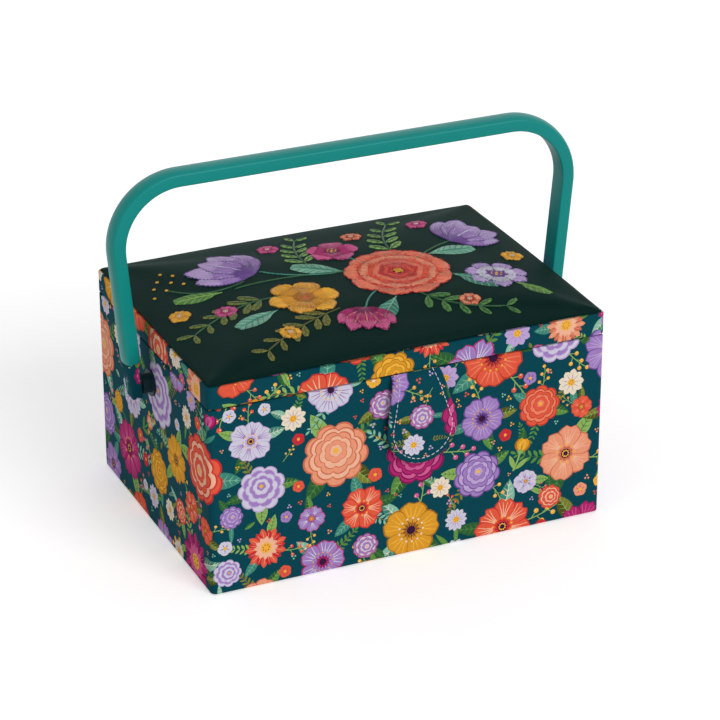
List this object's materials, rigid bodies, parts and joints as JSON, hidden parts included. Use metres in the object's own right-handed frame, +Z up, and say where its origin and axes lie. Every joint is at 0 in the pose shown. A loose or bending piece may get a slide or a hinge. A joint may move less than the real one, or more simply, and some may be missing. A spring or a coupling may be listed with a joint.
{
  "type": "sewing box",
  "caption": "Cloth-covered sewing box with a padded hinged lid, a magnetic tongue flap, a swinging bow handle and a compartment tray.",
  "frame": {"origin": "middle of the flat underside", "axes": "+X to the right seen from the front, -Y to the front, +Z up"},
  "size_m": [0.3092, 0.196, 0.236],
  "materials": {
    "printed_cotton": "printed woven cotton",
    "pad_cloth": "dark green woven cloth with embroidery",
    "lining_cloth": "plain woven lining",
    "base_cloth": "plain dark nonwoven",
    "greyboard": "raw greyboard",
    "foam": "polyurethane foam sheet",
    "elastic": "gathered elastic",
    "handle_plastic": "moulded satin gloss",
    "tray_plastic": "moulded, satin",
    "bush_plastic": "moulded",
    "beech": "sanded beech",
    "nickel": "nickel plated steel",
    "steel": "zinc plated steel"
  },
  "bodies": {
    "root": {"base_board": "greyboard", "front_board": "greyboard", "back_board": "greyboard", "left_board": "greyboard", "right_board": "greyboard", "body_cover": "printed_cotton", "base_cover": "base_cloth", "wall_lining": "lining_cloth", "base_lining": "lining_cloth", "left_ledge": "lining_cloth", "right_ledge": "lining_cloth", "compartment_tray": "tray_plastic", "catch_plate": "nickel", "catch_washer": "steel", "hinge_strip_lower": "printed_cotton", "pivot_bushes": "bush_plastic", "pivot_rivets": "steel", "pivot_washers": "steel"},
    "lid": {"lid_board": "greyboard", "lid_rim_front": "greyboard", "lid_rim_back": "greyboard", "lid_rim_left": "greyboard", "lid_rim_right": "greyboard", "rim_cover": "printed_cotton", "pad_foam": "foam", "pad_cover": "pad_cloth", "lid_lining": "lining_cloth", "lid_pocket": "lining_cloth", "pocket_elastic": "elastic", "pincushion": "pad_cloth", "hinge_strip_upper": "printed_cotton"},
    "flap": {"flap_board": "greyboard", "flap_cover": "printed_cotton", "flap_magnet": "nickel"},
    "handle": {"handle_bow": "handle_plastic", "left_tab_core": "beech", "right_tab_core": "beech", "left_tab_sleeve": "printed_cotton", "right_tab_sleeve": "printed_cotton"}
  },
  "joints": [
    {"name": "lid_hinge", "type": "hinge", "parent": "root", "child": "lid", "pos_m": [0, 0.0953, 0.1226], "axis": [-1, 0, 0], "range_deg": [0, 100]},
    {"name": "handle_swing", "type": "hinge", "parent": "root", "child": "handle", "pos_m": [0, 0, 0.1], "axis": [-1, 0, 0], "range_deg": [0, 100]},
    {"name": "flap_hinge", "type": "hinge", "parent": "lid", "child": "flap", "pos_m": [0.002, -0.0953, 0.1226], "axis": [-1, 0, 0], "range_deg": [0, 95]}
  ],
  "couplings": [
    {"joint": "handle_swing", "follows": "lid_hinge", "ratio": 1}
  ]
}
